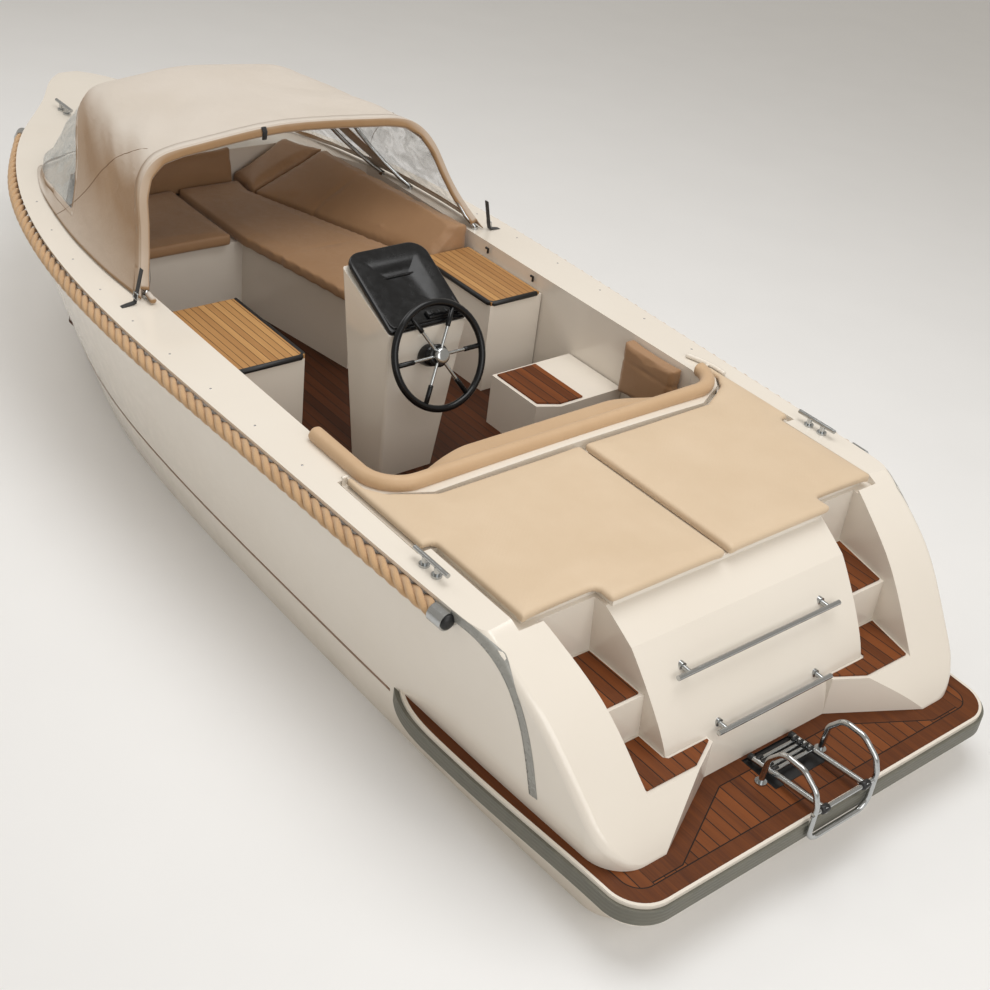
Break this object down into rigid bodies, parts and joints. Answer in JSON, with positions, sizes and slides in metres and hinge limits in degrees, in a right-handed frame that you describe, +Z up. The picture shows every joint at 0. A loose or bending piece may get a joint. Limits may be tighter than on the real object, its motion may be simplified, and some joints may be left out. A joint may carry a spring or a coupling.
{
  "type": "speedboat",
  "caption": "Open family speedboat with a folding spray hood, stern sunpads over an engine bay, side console and a wide teak swim platform.",
  "frame": {"origin": "on the waterline plane at the middle of the hull's length, on the centreline", "axes": "+X to the bow, +Y to port, +Z up"},
  "size_m": [6.1152, 2.2926, 1.982],
  "materials": {
    "gelcoat": "glossy off-white moulding",
    "teak": "oiled planks",
    "light_teak": "light planks",
    "band_rubber": "dull",
    "stainless": "polished",
    "rope": "twisted rope",
    "upholstery": "soft upholstery",
    "black_gloss": "gloss",
    "canvas": "woven canvas",
    "clear_vinyl": "clear",
    "webbing": "woven strap",
    "engine_iron": "painted",
    "bronze": "cast bronze"
  },
  "bodies": {
    "hull": {"hull": "gelcoat", "swim_platform": "gelcoat", "platform_teak": "teak", "platform_band": "band_rubber", "step_teak_low": "teak", "step_teak_high": "teak", "grab_rails": "stainless", "ladder_hoops": "stainless", "fender_caps": "stainless", "rope_fender": "rope", "cleats": "stainless", "bolster": "upholstery", "cockpit_sole": "teak", "bench_base": "gelcoat", "seat_cushion_side": "upholstery", "seat_cushion_front": "upholstery", "backrest_side": "upholstery", "backrest_front": "upholstery", "locker_port": "gelcoat", "locker_stbd": "gelcoat", "helm_step": "gelcoat", "helm_tread": "teak", "back_pad": "upholstery", "console": "gelcoat", "dash": "black_gloss", "steering_shaft": "stainless", "throttle": "stainless", "hood_canvas": "canvas", "hood_windows": "clear_vinyl", "hood_frame": "stainless", "hood_straps": "webbing", "engine": "engine_iron", "skeg": "gelcoat", "stern_gear": "bronze", "bow_eye": "stainless"},
    "stern_hatch": {"hatch_lid": "gelcoat", "sunpad_port": "upholstery", "sunpad_stbd": "upholstery"},
    "port_locker_lid": {"locker_lid_port": "light_teak"},
    "starboard_locker_lid": {"locker_lid_stbd": "light_teak"},
    "steering_wheel": {"wheel_rim": "black_gloss", "wheel_spokes": "stainless"},
    "swim_ladder": {"ladder": "stainless"},
    "propeller": {"propeller": "bronze"},
    "rudder": {"rudder": "bronze"}
  },
  "joints": [
    {"name": "hatch_hinge", "type": "hinge", "parent": "hull", "child": "stern_hatch", "pos_m": [-1.313, 0, 0.886], "axis": [0, 1, 0], "range_deg": [0, 50]},
    {"name": "port_lid_hinge", "type": "hinge", "parent": "hull", "child": "port_locker_lid", "pos_m": [0, 0.83, 0.80415], "axis": [-1, 0, 0], "range_deg": [0, 80]},
    {"name": "starboard_lid_hinge", "type": "hinge", "parent": "hull", "child": "starboard_locker_lid", "pos_m": [0, -0.83, 0.80415], "axis": [1, 0, 0], "range_deg": [0, 80]},
    {"name": "wheel_turn", "type": "hinge", "parent": "hull", "child": "steering_wheel", "pos_m": [-0.838, 0.165, 0.968], "axis": [-0.9135, 0, 0.4067], "range_deg": [-540, 540]},
    {"name": "ladder_fold", "type": "hinge", "parent": "hull", "child": "swim_ladder", "pos_m": [-3.072, 0, 0.3], "axis": [0, -1, 0], "range_deg": [0, 250]},
    {"name": "propeller_spin", "type": "hinge", "parent": "hull", "child": "propeller", "pos_m": [-2.4, 0, -0.432], "axis": [-0.9762, 0, -0.2169], "continuous": true},
    {"name": "rudder_turn", "type": "hinge", "parent": "hull", "child": "rudder", "pos_m": [-2.64, 0, -0.262], "axis": [0, 0, 1], "range_deg": [-35, 35]}
  ]
}
